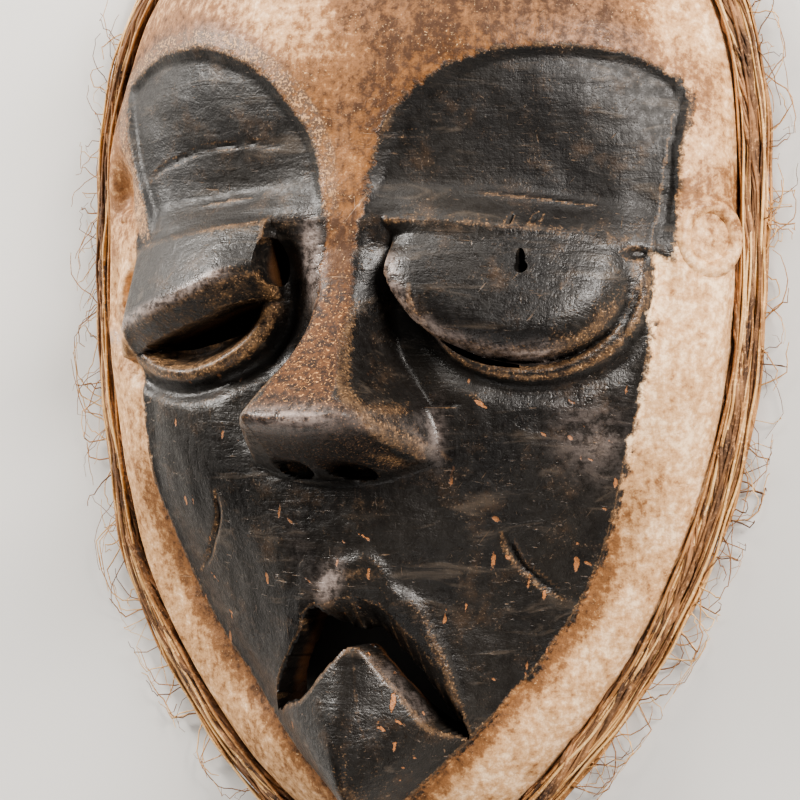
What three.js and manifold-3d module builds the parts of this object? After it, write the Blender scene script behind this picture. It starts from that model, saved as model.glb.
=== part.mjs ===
// A carved wooden face mask with a cord and a raffia binding lashed along its back rim.
// It lies on its back rim, face up: +X is the mask's left side, +Y runs from chin to crown,
// +Z points out of the face, and the origin is on the rim plane in the middle of the outline.
// Units are millimetres. Places on the face are measured from the eye line, at EYE_LINE.

import * as THREE from "three";
import { mergeVertices } from "three/addons/utils/BufferGeometryUtils.js";
import Module from "manifold-3d";

const wasm = await Module();
wasm.setup();

// Driving dimensions of the carved block
const HALF_WIDTH = 98;
const CHIN_Y = -147;
const WIDEST_Y = 42;
const CROWN_Y = 150;
const EYE_LINE = -(CHIN_Y + CROWN_Y) / 2;
const EDGE_HEIGHT = 8;
const JAW_FULLNESS = 4;
const DARK_HALF_WIDTH = 78;
const DARK_CHIN_Y = -130;
const FOOT_ROUND = 9;

// Driving dimensions of the hollow behind the face
const RIM_WALL = 8;
const EDGE_WALL = 6.5;
const MORE_WALL = 9.5;
const HOLLOW_CHIN_Y = -133;
const HOLLOW_CROWN_Y = 140;

// Height of the middle of the face without its nose, as [place, height]
const MIDLINE = [
  [-147, 8], [-138, 22], [-128, 37], [-116, 48], [-100, 52], [-80, 50], [-62, 50], [-45, 52],
  [-20, 53], [5, 53], [30, 56], [60, 56], [92, 57], [112, 53], [130, 43], [143, 27], [150, 8],
];
// Height of the edge of the blackened zone, where the pale border begins
const DARK_EDGE = [
  [-147, 8], [-133, 18], [-119, 24], [-104, 24], [-86, 19], [-62, 16], [-45, 18], [-20, 25],
  [10, 29], [45, 29], [90, 27], [150, 8],
];
// How full the cheeks are: 1 is a straight slope like a roof, 2 a round arch
const FULLNESS = [
  [-147, 1.15], [-104, 1.15], [-86, 1.2], [-62, 1.35], [-45, 1.6], [-20, 2], [10, 2.3], [150, 2.4],
];

// Brow hollows
const HOLLOW_CENTRE = 60;
const HOLLOW_INNER = 54;
const HOLLOW_STEP = 3;
const HOLLOW_DEPTH = 6.5;
const LEDGE_Y = 45.5;

// Eyes
const EYE_CENTRE = 51;
const SOCKET_Y = 24;
const SOCKET_HALF = 30;
const SOCKET_LOW = 26.5;
const SOCKET_DEPTH = 10;
const LOWER_LID_RADIUS = 2.2;
const LID_STAND = 11;
const LID_ROUND = 7;
const LID_DROP = 14;
const LID_TOP_Y = 38;

// Nose: the height and half width of its ridge, and how steep its sides are
const RIDGE = [[-40, 91], [-22, 89], [-14, 87], [-8, 82.5], [5, 69.5], [20, 59.5], [32, 57], [60, 56]];
const RIDGE_HALF = [[-40, 18], [-17, 16.5], [-8, 13], [5, 7.5], [20, 4.6], [32, 4.3], [45, 5.5], [60, 8.5]];
const SIDE_SLOPE = [[-40, 3], [-9, 3.4], [5, 3.2], [20, 1.6], [30, 0.9], [60, 0.9]];
const NOSE_BASE_HALF = 27;
const NOSTRILS = [[-9.3, -27], [8.6, -27.5]];

// Mouth: the edges of the chevron opening, as [place across, place up]
const UPPER_LIP = [
  [-30, -97], [-24, -84.5], [-16, -77], [-10, -67.5], [1, -63], [8, -69.5], [16, -77], [26, -92], [29, -101],
];
const LOWER_LIP = [
  [-30, -97], [-24, -94.5], [-12, -84], [-3, -76.5], [1.5, -75], [6, -77.5], [14.5, -88], [20, -96], [29, -101],
];
const LIP_RADIUS = 4;

// Ears
const EAR_RADIUS = 10;
const EAR_THICKNESS = 3.2;
const EAR_TILT = 0.8;
const EAR_LEFT = [93.5, 39, 17.5];
const EAR_RIGHT = [-86, 39, 19];

// Binding along the rim
const CORD_RADIUS = 2.6;
const CORD_HEIGHT = 5.6;
const RAFFIA_RADIUS = 2;
const RAFFIA_HEIGHT = 2.4;
const GAP = 0.4;

// How far a cutter's edge stands clear of the surface that it cuts
const CLEARANCE = 2.5;

function clamp(value, low, high) {
  return Math.min(high, Math.max(low, value));
}

function ramp(from, to, value) {
  const share = clamp((value - from) / (to - from), 0, 1);
  return share * share * (3 - 2 * share);
}

// Places spaced evenly from one to another, without the last.
function spaced(from, to, count) {
  return Array.from({ length: count }, (_, i) => from + ((to - from) * i) / count);
}

// A smooth curve through a few stations, each [place, value].
function through(stations, place) {
  const last = stations.length - 1;
  const at = clamp(place, stations[0][0], stations[last][0]);
  let i = 0;
  while (i < last - 1 && at > stations[i + 1][0]) i += 1;
  const slope = (k) => {
    const a = stations[Math.max(k - 1, 0)];
    const b = stations[Math.min(k + 1, last)];
    return (b[1] - a[1]) / (b[0] - a[0]);
  };
  const [start, from] = stations[i];
  const [end, to] = stations[i + 1];
  const span = end - start;
  const k = (at - start) / span;
  const keep = (1 + 2 * k) * (1 - k) ** 2;
  const leave = span * slope(i) * k * (1 - k) ** 2;
  const arrive = span * slope(i + 1) * k * k * (1 - k);
  return keep * from + leave + (1 - keep) * to - arrive;
}

// The lower of two surfaces, with their meeting line rounded over a radius.
function softMin(a, b, radius) {
  const share = clamp(0.5 + (0.5 * (b - a)) / radius, 0, 1);
  return b + (a - b) * share - radius * share * (1 - share);
}

// Half the width of the carved block. The jaw is a little fuller on the mask's right, at -X.
function halfWidth(y, side) {
  const down = clamp((WIDEST_Y - y) / (WIDEST_Y - CHIN_Y), 0, 1);
  const up = clamp((y - WIDEST_Y) / (CROWN_Y - WIDEST_Y), 0, 1);
  const even = y < WIDEST_Y ? HALF_WIDTH * (1 - down ** 2.45) ** 0.9 : HALF_WIDTH * (1 - up ** 3.2) ** 0.42;
  const fuller = side < 0 ? JAW_FULLNESS * ramp(-15, -55, y) * ramp(-145, -105, y) : 0;
  return even + fuller;
}

// Half the width of the blackened zone, which is heart-shaped and narrows to the chin.
function darkHalf(y, side) {
  const down = clamp((30 - y) / (30 - DARK_CHIN_Y), 0, 1);
  const low = DARK_HALF_WIDTH * (1 - down ** 2.6) ** 1.08;
  const fuller = side < 0 ? 3 * ramp(-5, -35, y) * ramp(-90, -60, y) : 4 * ramp(-35, 10, y);
  return (y < 30 ? low : DARK_HALF_WIDTH + (side < 0 ? 8 : 4) * ramp(30, 85, y)) + fuller;
}

// The face before its features are cut: a steep roof at the chin, an arch at the cheeks and
// a dome at the forehead, with a sloping border all round. The foot of the face runs into
// the border in a soft hollow.
function block(x, y) {
  const across = Math.abs(x);
  const wide = Math.max(halfWidth(y, x), 0.5);
  const dark = clamp(darkHalf(y, x), 0.01, wide - 0.4);
  const middle = through(MIDLINE, y);
  const rim = Math.min(through(DARK_EDGE, y), middle);
  const rounded = Math.sqrt(across ** 2 + 9) - 3;
  const face = rim + (middle - rim) * (1 - clamp(rounded / dark, 0, 1) ** through(FULLNESS, y));
  const outwards = clamp((across - dark) / (wide - dark), 0, 1);
  const border = EDGE_HEIGHT + (rim - EDGE_HEIGHT) * (1 - outwards ** 1.5);
  const foot = across < dark ? face : rim - (across - dark) * 0.9;
  const joined = -softMin(-foot, -border + 0.15 * Math.max(dark - across, 0), FOOT_ROUND);
  const low = joined - 0.25 * FOOT_ROUND * Math.exp(-(((across - dark) / 8) ** 2));
  const dome = EDGE_HEIGHT + (middle - EDGE_HEIGHT) * (1 - clamp(across / wide, 0, 1) ** 2.6);
  return low + (dome - low) * ramp(50, 100, y);
}

// The front before the eyes and the nose are added: a crease runs between the bridge of the
// nose and the inner corner of each eye.
function front(x, y) {
  const across = Math.abs(x);
  const corner = x > 0 ? 13.5 : 22;
  const crease = ramp(through(RIDGE_HALF, y), corner, across) * (1 - ramp(0, 24, across - corner));
  return block(x, y) - 7 * crease * ramp(-34, 0, y) * ramp(47, 31, y);
}

// The ledge between brow hollow and eyelid sinks a little outwards.
function ledge(x) {
  return LEDGE_Y - 0.001 * x ** 2;
}

// Distance inside the outline of a brow hollow.
function hollowInside(x, y) {
  const across = Math.abs(x);
  const outer = x < 0 ? 54 : 42;
  const half = across < HOLLOW_CENTRE ? HOLLOW_INNER : outer;
  const high = x < 0 ? 50 : 47;
  const power = x < 0 ? 2.1 : 2.25;
  const reach = (Math.abs(across - HOLLOW_CENTRE) / half) ** power + (Math.max(y - 44, 0) / high) ** power;
  const limit = x < 0 ? 72 + 0.42 * (y - 42) : 87.5 + 0.05 * (y - 42);
  return softMin((1 - reach ** (1 / power)) * 48, limit - across, 4);
}

function browDepth(x, y) {
  const inside = hollowInside(x, y);
  const share = ramp(-0.5, 4, inside) * ramp(-1, 8, y - ledge(x));
  return share * (HOLLOW_STEP + HOLLOW_DEPTH * ramp(0, 30, inside) * (1 - ramp(0, 50, y - 46)));
}

// Distance inside the outline of an eye socket.
function socketInside(x, y) {
  return (1 - Math.hypot((Math.abs(x) - EYE_CENTRE) / SOCKET_HALF, (SOCKET_Y - y) / SOCKET_LOW)) * SOCKET_LOW;
}

// The left eye, at +X, is closed: its lid is a half moon. The other lid is lifted and straight.
function lidLine(x) {
  if (x > 0) return 35 - 31.5 * Math.sqrt(clamp(1 - ((x - EYE_CENTRE) / 38) ** 2, 0.05, 1));
  return through([[20, 28], [26, 26.5], [40, 23.5], [52, 19.5], [66, 13.5], [84, 6]], -x);
}

function lidInside(x, y) {
  if (x <= 0) return softMin(softMin((y - lidLine(x)) * 0.95, -x - 26.5, 3), 86 + x, 3);
  const half = x < EYE_CENTRE ? 39 : 30;
  const reach = (Math.abs(x - EYE_CENTRE) / half) ** 2.1 + (Math.max(35 - y, 0) / 31.5) ** 2.1;
  return (1 - reach ** (1 / 2.1)) * 31;
}

// Upper lid: a slope that comes forward from the ledge to a rounded rim.
function lidHeight(x, y) {
  const start = x > 0 ? LID_TOP_Y : ledge(x);
  const down = clamp((start - y) / (start - lidLine(x)), 0, 1.15);
  const rounding = 1 - Math.sqrt(clamp(1 - (1 - clamp(lidInside(x, y) / LID_ROUND, 0, 1)) ** 2, 0, 1));
  const drop = LID_DROP * rounding * (x > 0 ? ramp(43, 34, y) : 1);
  return block(x, y) - 0.8 + LID_STAND * down - drop;
}

// A wedge: a flat ridge, two steep sides, and an underside that shows its nostrils to the front.
// Above the eyes it sinks into the bridge.
function nose(x, y) {
  const across = Math.abs(x);
  const ridge = through(RIDGE, y) - 0.06 * Math.max(y - 28, 0) ** 2;
  const side = ridge + 1.5 - (across - through(RIDGE_HALF, y)) * through(SIDE_SLOPE, y);
  const top = softMin(ridge - 0.006 * across ** 2, side, 3.5);
  const lowLine = -32.5 + 7 * (x / NOSE_BASE_HALF) ** 2;
  const under = 50 + (y - lowLine) * 2.35;
  return softMin(top, under, 7);
}

// Half the width of the nose where it meets the face.
function noseFoot(y) {
  const sideFoot = through(RIDGE_HALF, y) + (through(RIDGE, y) - 46) / through(SIDE_SLOPE, y);
  return Math.min(sideFoot, NOSE_BASE_HALF * Math.sqrt(Math.max(y + 33.2, 0.02) / 7));
}

// The hollow behind the face is plain and smooth. Its rim is RIM_WALL wide and its wall grows
// from EDGE_WALL at the rim by MORE_WALL to the middle, where the front is carved deep.
function hollowHalfWidth(y, side) {
  const outerY = y < 0 ? (y * CHIN_Y) / HOLLOW_CHIN_Y : (y * CROWN_Y) / HOLLOW_CROWN_Y;
  return Math.max(halfWidth(outerY, side) * (1 - RIM_WALL / HALF_WIDTH), 0.2);
}

function hollowHeight(x, y) {
  const outerY = y < 0 ? (y * CHIN_Y) / HOLLOW_CHIN_Y : (y * CROWN_Y) / HOLLOW_CROWN_Y;
  const outerX = (x / (1 - RIM_WALL / HALF_WIDTH)) * 0.999;
  const reach = Math.max(Math.abs(x) / hollowHalfWidth(y, x), y / (y < 0 ? HOLLOW_CHIN_Y : HOLLOW_CROWN_Y));
  return block(outerX, outerY) - EDGE_WALL - MORE_WALL * (1 - Math.min(reach, 1) ** 2);
}

function toSolid(geometry) {
  const bare = geometry.clone();
  bare.deleteAttribute("normal");
  bare.deleteAttribute("uv");
  const merged = mergeVertices(bare, 1e-4);
  const kept = [];
  const index = merged.index.array;
  for (let i = 0; i < index.length; i += 3) {
    const [a, b, c] = [index[i], index[i + 1], index[i + 2]];
    if (a !== b && b !== c && c !== a) kept.push(a, b, c);
  }
  return new wasm.Manifold(new wasm.Mesh({
    numProp: 3,
    vertProperties: new Float32Array(merged.attributes.position.array),
    triVerts: new Uint32Array(kept),
  }));
}

function toGeometry(solid) {
  const mesh = solid.getMesh();
  const geometry = new THREE.BufferGeometry();
  geometry.setAttribute("position", new THREE.BufferAttribute(new Float32Array(mesh.vertProperties), 3));
  geometry.setIndex(new THREE.BufferAttribute(new Uint32Array(mesh.triVerts), 1));
  geometry.computeVertexNormals();
  return geometry;
}

// A closed solid between a height and a flat floor. Its rows run from chin to crown, each
// with the same number of places across.
function solidUnder(rows, acrossRow, height, floor) {
  const points = [];
  const faces = [];
  const add = (x, y, z) => points.push(new THREE.Vector3(x, y + EYE_LINE, z)) - 1;
  const quad = (a, b, c, d) => faces.push(a, b, c, a, c, d);
  const rings = rows.map((y) => {
    const places = acrossRow(y);
    const top = places.map((x) => add(x, y, height(x, y)));
    return { top, base: [add(places[0], y, floor), add(places[places.length - 1], y, floor)] };
  });
  for (let i = 0; i + 1 < rings.length; i += 1) {
    const near = rings[i];
    const far = rings[i + 1];
    const end = near.top.length - 1;
    for (let j = 0; j < end; j += 1) quad(near.top[j], near.top[j + 1], far.top[j + 1], far.top[j]);
    quad(near.base[0], near.top[0], far.top[0], far.base[0]);
    quad(near.top[end], near.base[1], far.base[1], far.top[end]);
    quad(near.base[1], near.base[0], far.base[0], far.base[1]);
  }
  for (const ring of [rings[0], rings[rings.length - 1]]) {
    const loop = [ring.base[0], ring.base[1], ...ring.top.slice().reverse()];
    for (let k = 1; k + 1 < loop.length; k += 1) {
      faces.push(...(ring === rings[0] ? [loop[0], loop[k], loop[k + 1]] : [loop[0], loop[k + 1], loop[k]]));
    }
  }
  const geometry = new THREE.BufferGeometry().setFromPoints(points);
  geometry.setIndex(faces);
  return toSolid(geometry);
}

// A closed solid between two heights over the area where a distance is above zero. Its rays
// run from a centre to the edge of that area, so its outline is smooth.
function solidInside(inside, centre, rays, shares, upper, lower) {
  const points = [];
  const faces = [];
  const add = (x, y, z) => points.push(new THREE.Vector3(x, y + EYE_LINE, z)) - 1;
  const edges = spaced(0, Math.PI * 2, rays).map((angle) => {
    const [across, along] = [Math.cos(angle), Math.sin(angle)];
    let near = 0;
    let far = 90;
    for (let i = 0; i < 30; i += 1) {
      const reach = (near + far) / 2;
      if (inside(centre[0] + reach * across, centre[1] + reach * along) > 0) near = reach;
      else far = reach;
    }
    return [near * across, near * along];
  });
  const skin = (height) => {
    const middle = add(centre[0], centre[1], height(centre[0], centre[1]));
    const rings = shares.map((share) => edges.map(([dx, dy]) => {
      const x = centre[0] + dx * share;
      const y = centre[1] + dy * share;
      return add(x, y, height(x, y));
    }));
    return { middle, rings };
  };
  const above = skin(upper);
  const below = skin(lower);
  const last = shares.length - 1;
  for (let i = 0; i < rays; i += 1) {
    const j = (i + 1) % rays;
    faces.push(above.middle, above.rings[0][i], above.rings[0][j]);
    faces.push(below.middle, below.rings[0][j], below.rings[0][i]);
    for (let k = 0; k < last; k += 1) {
      const [a, b] = [above.rings[k], above.rings[k + 1]];
      const [c, d] = [below.rings[k], below.rings[k + 1]];
      faces.push(a[i], b[i], b[j], a[i], b[j], a[j]);
      faces.push(c[i], d[j], d[i], c[i], c[j], d[j]);
    }
    const [top, foot] = [above.rings[last], below.rings[last]];
    faces.push(top[i], foot[i], foot[j], top[i], foot[j], top[j]);
  }
  const geometry = new THREE.BufferGeometry().setFromPoints(points);
  geometry.setIndex(faces);
  return toSolid(geometry);
}

// A cutter that stands through the whole mask.
function cutter(outline) {
  const shape = new THREE.Shape(outline.map(([x, y]) => new THREE.Vector2(x, y + EYE_LINE)));
  const geometry = new THREE.ExtrudeGeometry(shape, { depth: 140, bevelEnabled: false });
  geometry.translate(0, 0, -20);
  return toSolid(geometry);
}

function ellipse(x, y, halfX, halfY, count) {
  return spaced(0, Math.PI * 2, count).map((angle) => [x + halfX * Math.cos(angle), y + halfY * Math.sin(angle)]);
}

// A round bar laid along a line on the face, sunk so far that only its back stands out.
function roll(line, radius, sunk, steps) {
  const path = new THREE.CatmullRomCurve3(
    line.map(([x, y]) => new THREE.Vector3(x, y + EYE_LINE, front(x, y) - sunk)),
  );
  const section = new THREE.Shape(ellipse(0, 0, radius, radius, 6).map(([x, y]) => new THREE.Vector2(x, y)));
  return toSolid(new THREE.ExtrudeGeometry(section, { steps, extrudePath: path }));
}

// The rows and columns of the front follow the chin, the cheeks, the edge of the blackened
// zone and the round of the crown.
function frontRows() {
  const crown = spaced(0, 1, 8).map((share) => 96 + (CROWN_Y - 0.3 - 96) * (1 - (1 - share) ** 2));
  return [
    ...spaced(CHIN_Y + 0.3, -136, 3), ...spaced(-136, -96, 5), ...spaced(-96, -40, 6),
    ...spaced(-40, 96, 15), ...crown, CROWN_Y - 0.3,
  ];
}

function frontColumns(y) {
  const sides = [-1, 1].map((side) => {
    const wide = halfWidth(y, side);
    const bridge = Math.min(28, wide * 0.45);
    const dark = Math.max(Math.min(darkHalf(y, side), wide - 1.5), wide * 0.6);
    return [...spaced(0, bridge, 5), ...spaced(bridge, dark, 6), ...spaced(dark, wide, 4), wide];
  });
  return [...sides[0].slice(1).reverse().map((x) => -x), ...sides[1]];
}

function hollowRows() {
  const middle = (HOLLOW_CHIN_Y + HOLLOW_CROWN_Y) / 2;
  const half = (HOLLOW_CROWN_Y - HOLLOW_CHIN_Y) / 2 - 0.3;
  return [...spaced(-1, 1, 20), 1].map((share) => middle + half * Math.sin((share * Math.PI) / 2));
}

function hollowColumns(y) {
  return [...spaced(-1, 1, 16), 1].map((share) => hollowHalfWidth(y, share) * Math.sin((share * Math.PI) / 2));
}

function noseRows() {
  return [...spaced(-33, -13, 11), ...spaced(-13, 8, 8), ...spaced(8, 40, 6), 40];
}

function noseColumns(y) {
  const ridge = Math.min(through(RIDGE_HALF, y), noseFoot(y) * 0.85);
  const side = [...spaced(0, ridge, 4), ...spaced(ridge, noseFoot(y), 3), noseFoot(y)];
  return [...side.slice(1).reverse().map((x) => -x), ...side];
}

function browCutter(side) {
  const inside = (x, y) => Math.min(hollowInside(x, y), y - ledge(x) + 1, side * x);
  const depth = (x, y) => block(x, y) + CLEARANCE * (1 - ramp(-0.5, 3, inside(x, y))) - browDepth(x, y);
  return solidInside(inside, [side * 54, 66], 34, [0.3, 0.6, 0.8, 0.93, 1], () => 120, depth);
}

function socketCutter(side) {
  const inside = (x, y) => Math.min(socketInside(x, y), 34 - y);
  const depth = (x, y) => block(x, y) + CLEARANCE - (SOCKET_DEPTH + CLEARANCE) * ramp(-1, 7, inside(x, y));
  return solidInside(inside, [side * EYE_CENTRE, 22], 26, [0.4, 0.7, 0.88, 1], () => 120, depth);
}

// The lower lid is the raised edge of the socket.
function lowerLid(side) {
  const arc = [...spaced(-2.85, -0.3, 12), -0.3];
  const line = arc.map((angle) => [
    side * EYE_CENTRE + SOCKET_HALF * Math.cos(angle), SOCKET_Y + SOCKET_LOW * Math.sin(angle),
  ]);
  return roll(line, LOWER_LID_RADIUS, 0.7, 18);
}

function upperLid(side) {
  const inside = (x, y) => Math.min(lidInside(x, y), ledge(x) + 2 - y);
  const centre = side > 0 ? [48, 28] : [-54, 32];
  const shares = [0.4, 0.7, 0.85, 0.94, 1];
  return solidInside(inside, centre, 34, shares, lidHeight, (x, y) => block(x, y) - 20);
}

// An ear is a small ring on the side of the head, half buried, with a thin web inside it.
function ear(side) {
  const ring = new THREE.TorusGeometry(EAR_RADIUS, EAR_THICKNESS, 6, 12);
  const web = new THREE.SphereGeometry(EAR_RADIUS, 10, 4).scale(1, 1, 0.2);
  return [ring, web].map((geometry) => {
    geometry.scale(0.8, 0.88, 0.85).rotateY(side * EAR_TILT);
    const [x, y, z] = side > 0 ? EAR_LEFT : EAR_RIGHT;
    geometry.translate(x, y + EYE_LINE, z);
    return toSolid(geometry);
  });
}

// The upper lip is a soft roll above the opening.
function upperLip() {
  const line = [...spaced(-19, 26, 9), 26].map((x) => [x, through(UPPER_LIP, x) + 5.5]);
  return roll(line, LIP_RADIUS, 1.8, 11);
}

// A nostril is a shallow oval pit in the steep underside of the nose.
function nostril([x, y]) {
  const pit = new THREE.SphereGeometry(1, 10, 6).scale(5.6, 4, 5.4);
  pit.translate(x, y + EYE_LINE, nose(x, y));
  return toSolid(pit);
}

function mouthCutter() {
  const places = [...spaced(-29, 28, 18), 28];
  const upper = places.map((x) => [x, through(UPPER_LIP, x)]);
  const lower = places.slice(1, -1).map((x) => [x, Math.min(through(LOWER_LIP, x), through(UPPER_LIP, x) - 0.5)]);
  return cutter([...upper.reverse(), ...lower]);
}

// Openings that go right through: both eye slits, a hole at one inner corner and a small
// hole in the closed lid.
function eyeCutters() {
  const openEye = [
    [-71, 8], [-60, 7.6], [-51, 8.6], [-43, 11], [-36, 15], [-30, 20],
    [-30, 22.5], [-38, 20.5], [-47, 18], [-56, 14.5], [-65, 11],
  ];
  const closedEye = [[28, 8.6], [34, 5], [41, 2.2], [48, 0.9], [48, 2.4], [41, 3.8], [34, 6.8]];
  return [
    cutter(openEye),
    cutter(closedEye),
    cutter(ellipse(-24.3, 31, 2.3, 6.6, 10)),
    cutter(ellipse(51.2, 30.4, 1.1, 3, 8)),
  ];
}

function carvedMask() {
  let solid = solidUnder(frontRows(), frontColumns, front, 0);
  for (const side of [-1, 1]) {
    solid = solid.subtract(browCutter(side)).subtract(socketCutter(side));
    solid = solid.add(lowerLid(side)).add(upperLid(side));
    for (const earPiece of ear(side)) solid = solid.add(earPiece);
  }
  solid = solid.add(upperLip());
  solid = solid.add(solidUnder(noseRows(), noseColumns, nose, 30));
  for (const place of NOSTRILS) solid = solid.subtract(nostril(place));
  solid = solid.subtract(solidUnder(hollowRows(), hollowColumns, hollowHeight, -20));
  for (const hole of [mouthCutter(), ...eyeCutters()]) solid = solid.subtract(hole);
  return toGeometry(solid);
}

// A closed loop round the outline, a given distance outside it.
function rimLoop(distance, height, count) {
  const outline = [];
  for (const side of [1, -1]) {
    for (const turn of spaced(-1, 1, 60)) {
      const share = side * Math.sin((turn * Math.PI) / 2);
      const y = share < 0 ? -share * CHIN_Y : share * CROWN_Y;
      outline.push(new THREE.Vector3(side * halfWidth(y, side), y + EYE_LINE, height));
    }
  }
  const even = new THREE.CatmullRomCurve3(outline, true).getSpacedPoints(count * 2).slice(0, -1);
  const up = new THREE.Vector3(0, 0, 1);
  const moved = even.map((point, i) => {
    const before = even[(i + even.length - 2) % even.length];
    const after = even[(i + 2) % even.length];
    const out = after.clone().sub(before).cross(up).normalize();
    return point.clone().addScaledVector(out, distance);
  });
  return new THREE.CatmullRomCurve3(moved, true);
}

function loopTube(distance, height, radius, sides, steps) {
  const outline = ellipse(0, 0, radius, radius, sides).map(([x, y]) => new THREE.Vector2(x, y));
  const extrudePath = rimLoop(distance, height, steps);
  return new THREE.ExtrudeGeometry(new THREE.Shape(outline), { steps, extrudePath });
}

const wood = new THREE.MeshStandardMaterial({ color: 0x3a332d, roughness: 0.5, metalness: 0 });
const fibre = new THREE.MeshStandardMaterial({ color: 0x6b4c31, roughness: 0.95, metalness: 0 });
const raffia = new THREE.MeshStandardMaterial({ color: 0xc19a66, roughness: 0.85, metalness: 0 });

function piece(name, geometry, material) {
  const mesh = new THREE.Mesh(geometry, material);
  mesh.name = name;
  return mesh;
}

const cordReach = CORD_RADIUS + GAP;
const raffiaReach = cordReach + CORD_RADIUS + 0.7;

const mask = new THREE.Group();
mask.add(piece("carved_mask", carvedMask(), wood));
mask.add(piece("rim_cord", loopTube(cordReach, CORD_HEIGHT, CORD_RADIUS, 5, 54), fibre));
mask.add(piece("raffia_binding", loopTube(raffiaReach, RAFFIA_HEIGHT, RAFFIA_RADIUS, 5, 50), raffia));

export default mask;
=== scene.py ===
import math

import bmesh
import bpy
import numpy as np
from mathutils import Matrix, Vector


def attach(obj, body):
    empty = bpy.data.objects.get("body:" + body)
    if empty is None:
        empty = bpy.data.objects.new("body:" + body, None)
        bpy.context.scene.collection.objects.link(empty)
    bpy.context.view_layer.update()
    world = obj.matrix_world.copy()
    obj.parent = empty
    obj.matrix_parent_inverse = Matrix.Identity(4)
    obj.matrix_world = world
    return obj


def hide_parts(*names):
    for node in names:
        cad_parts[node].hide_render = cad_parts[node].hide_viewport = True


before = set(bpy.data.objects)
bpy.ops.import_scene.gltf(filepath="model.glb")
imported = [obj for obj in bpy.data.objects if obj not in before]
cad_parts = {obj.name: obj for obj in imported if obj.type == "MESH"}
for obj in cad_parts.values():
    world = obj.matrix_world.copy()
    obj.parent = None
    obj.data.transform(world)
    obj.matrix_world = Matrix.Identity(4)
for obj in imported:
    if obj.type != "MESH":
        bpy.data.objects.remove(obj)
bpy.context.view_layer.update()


# The camera looks down on the mask lying face up, from a little to its left side and with
# its chin towards the viewer. Its axes come from the turn round the mask's height and a
# small tilt and roll. Sizes here are in metres.
AIM = Vector((0.0012, -0.0075, 0.017))
DISTANCE = 1.0
TURN, TILT, ROLL = (math.radians(angle) for angle in (24.0, -2.5, 1.25))
LENS = 157.05

swung = math.cos(TILT)
back = Vector((math.sin(TURN) * swung, math.sin(TILT), math.cos(TURN) * swung))
level = Vector((math.cos(TURN), 0.0, -math.sin(TURN)))
upright = back.cross(level)
right = level * math.cos(ROLL) + upright * math.sin(ROLL)
top = upright * math.cos(ROLL) - level * math.sin(ROLL)

camera = bpy.data.objects.new("camera", bpy.data.cameras.new("camera"))
camera.data.sensor_width = 36
camera.data.lens = LENS
camera.data.clip_end = 20
facing = Matrix((right, top, back)).transposed().to_4x4()
camera.matrix_world = Matrix.Translation(AIM + back * DISTANCE) @ facing
bpy.context.collection.objects.link(camera)
bpy.context.scene.camera = camera


# The carved mask is one block of light wood, worked with an adze and a knife. Its front is
# given as a height over the plane of the back rim. Sizes from here to the openings are in
# millimetres, x to the mask's left, y from the eye line to the crown.
EYE_LINE = -1.5
CHIN_Y, WIDEST_Y, CROWN_Y, HALF_WIDTH = -147, 42, 150, 98
EDGE_HEIGHT, EDGE_ROUND, EDGE_LEAST, JAW_FULLNESS = 8, 3.2, 2.5, 4
DARK_HALF_WIDTH, DARK_WIDEST_Y, DARK_CHIN_Y = 78, 30, -130
TEMPLE_X, TEMPLE_Y, TEMPLE_HALF_X, TEMPLE_HALF_Y, TEMPLE_DEPTH = -88, 55, 6, 9, 9
FOOT_ROUND, FOOT_GROOVE_HALF = 9, 8
MIDLINE_ROUND = 3
MIDLINE = [
    (-147, 8), (-138, 22), (-128, 37), (-116, 48), (-100, 52), (-80, 50), (-62, 50), (-45, 52), (-20, 53),
    (5, 53), (30, 56), (60, 56), (92, 57), (112, 53), (130, 43), (143, 27), (150, 8)]
DARK_EDGE = [
    (-147, 8), (-133, 18), (-119, 24), (-104, 24), (-86, 19), (-62, 16), (-45, 18), (-20, 25), (10, 29),
    (45, 29), (90, 27), (150, 8)]
FULLNESS = [(-147, 1.15), (-104, 1.15), (-86, 1.2), (-62, 1.35), (-45, 1.6), (-20, 2), (10, 2.3), (150, 2.4)]


def ramp(start, end, value):
    share = np.clip((value - start) / (end - start), 0, 1)
    return share * share * (3 - 2 * share)


def through(stations, place):
    """A smooth curve through a few stations, each (place, value)."""
    places, values = np.array(stations, float).T
    slope = np.gradient(values, places)
    slope[1:-1] = (values[2:] - values[:-2]) / (places[2:] - places[:-2])
    i = np.clip(np.searchsorted(places, place) - 1, 0, len(places) - 2)
    span = places[i + 1] - places[i]
    k = np.clip((place - places[i]) / span, 0, 1)
    keep = (1 + 2 * k) * (1 - k) ** 2
    bend = span * (slope[i] * k * (1 - k) ** 2 - slope[i + 1] * k * k * (1 - k))
    return keep * values[i] + (1 - keep) * values[i + 1] + bend


def soft_min(a, b, radius):
    share = np.clip(0.5 + 0.5 * (b - a) / radius, 0, 1)
    return b + (a - b) * share - radius * share * (1 - share)


def soft_max(a, b, radius):
    return -soft_min(-a, -b, radius)


def half_width(y, side):
    down = np.clip((WIDEST_Y - y) / (WIDEST_Y - CHIN_Y), 0, 1)
    up = np.clip((y - WIDEST_Y) / (CROWN_Y - WIDEST_Y), 0, 1)
    even = HALF_WIDTH * np.where(y < WIDEST_Y, (1 - down**2.45) ** 0.9, (1 - up**3.2) ** 0.42)
    return even + np.where(side < 0, JAW_FULLNESS * ramp(-15, -55, y) * ramp(-145, -105, y), 0)


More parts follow.
